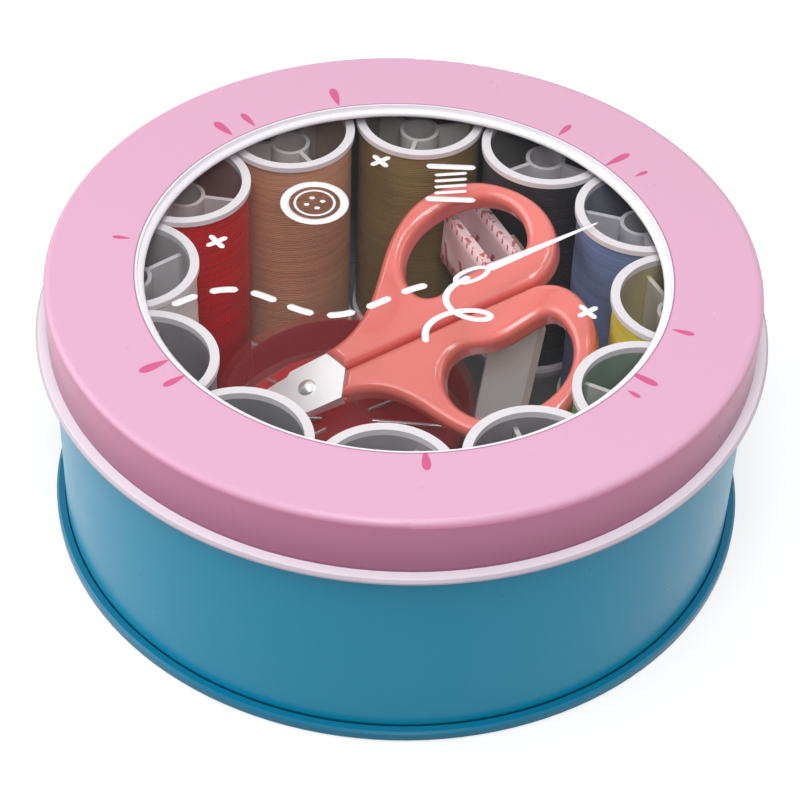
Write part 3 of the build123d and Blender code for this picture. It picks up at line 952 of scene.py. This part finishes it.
def tape_spiral(tools):
    """The rolled tape: its middle line is an oval of two straight runs and two half circles whose
    radius shrinks evenly with each turn, carried down the coil's own slant, and its section is a
    thin rectangle."""
    co = np.empty(len(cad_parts["tape_coil"].data.vertices) * 3, np.float32)
    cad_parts["tape_coil"].data.vertices.foreach_get("co", co)
    co = co.reshape(-1, 3).astype(float)
    low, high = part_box("tape_coil")
    east, north = math.cos(COIL_AZIMUTH), math.sin(COIL_AZIMUTH)
    level, drop = math.cos(COIL_DIP), math.sin(COIL_DIP)
    along = np.array([east * level, north * level, -drop])
    across = np.array([-north, east, 0.0])
    upward = np.cross(along, across)
    middle = np.array((low + high) / 2)
    spread = (co - middle) @ np.stack([along, across, upward]).T
    half_long, half_wide, half_tall = (np.abs(spread[:, k]).max() for k in range(3))
    thick = tools.tape_sheet
    step = thick + tools.tape_gap
    turns = (COIL_BUILD - thick) / step
    straight = half_long - half_wide
    outer = half_wide - thick / 2
    t = np.linspace(0, turns, int(turns * 90))
    radius = outer - step * t
    around = 2 * np.pi * (t % 1.0)
    # the half circles keep their centres, and the straight runs join them
    loop_x = radius * np.cos(around) + straight * np.clip(np.cos(around) * 6.0, -1, 1)
    loop_y = radius * np.sin(around)
    path = middle + loop_x[:, None] * along + loop_y[:, None] * across
    run = np.gradient(path, axis=0)
    run /= np.linalg.norm(run, axis=1)[:, None]
    side = np.cross(upward, run)
    travelled = np.concatenate([[0], np.cumsum(np.linalg.norm(np.diff(path, axis=0), axis=1))])
    tall = half_tall - 0.00005
    rungs = np.array([-1.0, -0.5, 0.0, 0.5, 1.0])
    ring = np.column_stack([np.repeat([-1.0, 1.0], len(rungs)), np.append(rungs, rungs[::-1])])
    section = np.tile(ring * [thick / 2, tall], (len(path), 1, 1))
    points = sweep(path, side, np.tile(upward, (len(path), 1)), section)
    lengthwise, crosswise = np.broadcast_arrays(travelled[:, None], ring[None, :, 1] * tall)
    piece = surface("tape_band", points, np.stack([lengthwise, crosswise], -1))
    return piece, travelled[-1], 2 * tall


class SEWING_OT_tape(bpy.types.Operator):
    """Rolls the tape measure and prints its scale"""

    bl_idname = "sewing.tape"
    bl_label = "Tape measure"

    def execute(self, context):
        tools = context.scene.sewing_tools
        piece, long, wide = tape_spiral(tools)
        finish = Finish("tape_cloth")
        u, v = finish.sheet_place()
        spot, *_ = finish.place()
        half = wide / 2
        edge = v.size()
        centimetre = ((u * 180.0 + v * 60.0).part() - 0.5).size() > 0.410
        millimetre = ((u * 540.0).part() - 0.5).size() > 0.36
        long_tick = centimetre * (v < half * -0.10) * (v > half * -0.80)
        short_tick = millimetre * (edge > half * 0.70) * (edge < half * 0.92)
        fibre = finish.noise(spot, 2400.0, 2.0)
        soil = finish.noise(spot, 130.0, 2.0)
        fray = finish.noise(spot, 900.0, 1.0).ramp(0.52, 0.60) * edge.ramp(half * 0.90, half * 0.97)
        cloth = finish.mix(tuple(tools.tape), tuple(0.86 * c for c in tools.tape), soil * 0.6)
        print_share = long_tick.most(short_tick).most(fray) * 0.85
        finish.surface(
            Base_Color=finish.mix(cloth, tuple(tools.tick), print_share),
            Roughness=0.48 + fibre * 0.15,
            Sheen_Weight=0.1,
            Normal=finish.bump(fibre, 0.00003, 0.5),
        )
        dress(finish.material, piece.name)
        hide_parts("tape_coil")
        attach(piece, "tin")
        dress(ground_steel("tip_metal", (0.80, 0.66, 0.40), 0.22), "tape_tip")
        return {"FINISHED"}


class SEWING_OT_sleeve(bpy.types.Operator):
    """Finishes the card needle sleeve"""

    bl_idname = "sewing.sleeve"
    bl_label = "Needle sleeve"

    def execute(self, context):
        tools = context.scene.sewing_tools
        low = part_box("needle_sleeve")[0]
        finish = Finish("sleeve_card")
        spot, x, y, z = finish.place()
        across = x - (z - low.z) * math.tan(SLEEVE_LEAN)
        folded = across > low.x + SLEEVE_FOLD
        pulp = finish.noise(spot, 900.0, 4.0, 0.6)
        shade = finish.mix(tuple(tools.card), tuple(tools.card_edge), folded)
        finish.surface(
            Base_Color=finish.mix(shade, tuple(0.93 * c for c in tools.card), pulp * 0.3),
            Roughness=0.62 + pulp * 0.15,
            Sheen_Weight=0.3,
            Normal=finish.bump(pulp, 0.00005, 0.5),
        )
        dress(finish.material, "needle_sleeve")
        return {"FINISHED"}


# --- stage ---------------------------------------------------------------------------------


# the lamps: place, height of the point on the axis that they face, side and power in watts
LAMPS = {
    "key": ((-0.06, -0.34, 0.92), 0.03, 0.36, 3.4),
    "overhead": ((0.04, 0.10, 0.92), 0.02, 0.26, 1.3),
    "fill": ((0.05, -0.60, 0.70), 0.03, 0.26, 1.9),
    "left": ((-0.82, 0.06, 0.34), 0.03, 0.90, 6.0),
    "right": ((0.82, 0.04, 0.34), 0.03, 0.90, 2.3),
}

CAMERA_PLACE = (0.0, -0.307692, 0.308112)
CAMERA_RIGHT = (0.99928, 0.02586, 0.02772)
CAMERA_UP = (-0.03791, 0.68421, 0.72830)
CAMERA_AHEAD = (0.00013, 0.72882, -0.68470)


def lamp(name, spot, height, size, power):
    """A soft square lamp that points at the tin's axis at that height."""
    data = bpy.data.lights.new(name, "AREA")
    data.shape = "SQUARE"
    data.size = size
    data.energy = power
    piece = bpy.data.objects.new(name, data)
    bpy.context.scene.collection.objects.link(piece)
    way = Vector((0, 0, height)) - Vector(spot)
    turned = way.to_track_quat("-Z", "Y").to_matrix().to_4x4()
    piece.matrix_world = Matrix.Translation(spot) @ turned


class SEWING_OT_stage(bpy.types.Operator):
    """Sets the floor, the lamps, the world and the camera"""

    bl_idname = "sewing.stage"
    bl_label = "Stage"

    def execute(self, context):
        scene = context.scene
        scene.view_settings.view_transform = "Standard"
        rows = np.linspace(-2.5, 2.5, 9)
        x, y = np.meshgrid(rows, rows)
        floor = surface(
            "floor", np.stack([x, y, np.full_like(x, -0.00002)], -1), around=False, ends="open"
        )
        finish = Finish("floor_paper")
        paper = finish.node("ShaderNodeBsdfDiffuse", None, {"Color": (0.42, 0.42, 0.42)})
        glowing = {"Color": (1.0, 1.0, 1.0), "Strength": finish.white_rays() * 0.64}
        glow = finish.node("ShaderNodeEmission", None, glowing)
        finish.close(finish.node("ShaderNodeAddShader", None, {0: paper, 1: glow}))
        dress(finish.material, "floor")

        studio = Finish("studio", bpy.data.worlds.new("studio"))
        scene.world = studio.material
        dim = {"Color": (1.0, 0.985, 0.99), "Strength": 0.14}
        bright = {"Color": (1.0, 1.0, 1.0), "Strength": 1.0}
        room = studio.node("ShaderNodeBackground", None, dim)
        backdrop = studio.node("ShaderNodeBackground", None, bright)
        shaders = {0: studio.white_rays(), 1: room, 2: backdrop}
        chosen = studio.node("ShaderNodeMixShader", None, shaders)
        studio.node("ShaderNodeOutputWorld", None, {"Surface": chosen})

        for name, row in LAMPS.items():
            lamp(name, *row)

        data = bpy.data.cameras.new("camera")
        data.lens = 108.0
        data.sensor_width = 36.0
        data.clip_start = 0.01
        camera = bpy.data.objects.new("camera", data)
        scene.collection.objects.link(camera)
        axes = (Vector(CAMERA_RIGHT), Vector(CAMERA_UP), -Vector(CAMERA_AHEAD))
        turned = Matrix(axes).transposed().to_4x4()
        camera.matrix_world = Matrix.Translation(CAMERA_PLACE) @ turned
        scene.camera = camera
        return {"FINISHED"}


# --- panel and run -------------------------------------------------------------------------

OPERATORS = (
    SEWING_OT_tin,
    SEWING_OT_window,
    SEWING_OT_reels,
    SEWING_OT_scissors,
    SEWING_OT_pin_box,
    SEWING_OT_tape,
    SEWING_OT_sleeve,
    SEWING_OT_stage,
)


class SEWING_PT_panel(bpy.types.Panel):
    """Lists the pieces of the sewing tin"""

    bl_idname = "SEWING_PT_panel"
    bl_label = "Sewing tin"
    bl_space_type = "VIEW_3D"
    bl_region_type = "UI"
    bl_category = "Sewing tin"

    def draw(self, context):
        for operator in OPERATORS:
            self.layout.operator(operator.bl_idname)


SETTINGS = (TinSettings, WindowSettings, ReelSettings, ToolSettings)
CLASSES = (*SETTINGS, *OPERATORS, SEWING_PT_panel)


def register():
    """Registers the settings, the operators and the panel."""
    for entry in CLASSES:
        bpy.utils.register_class(entry)
    bpy.types.Scene.sewing_tin = PointerProperty(type=TinSettings)
    bpy.types.Scene.sewing_window = PointerProperty(type=WindowSettings)
    bpy.types.Scene.sewing_reels = PointerProperty(type=ReelSettings)
    bpy.types.Scene.sewing_tools = PointerProperty(type=ToolSettings)


def unregister():
    """Takes them away again."""
    for name in ("sewing_tin", "sewing_window", "sewing_reels", "sewing_tools"):
        delattr(bpy.types.Scene, name)
    for entry in reversed(CLASSES):
        bpy.utils.unregister_class(entry)


def main():
    """Makes every piece in order."""
    register()
    for operator in OPERATORS:
        group, name = operator.bl_idname.split(".")
        getattr(getattr(bpy.ops, group), name)()


if __name__ == "__main__":
    main()
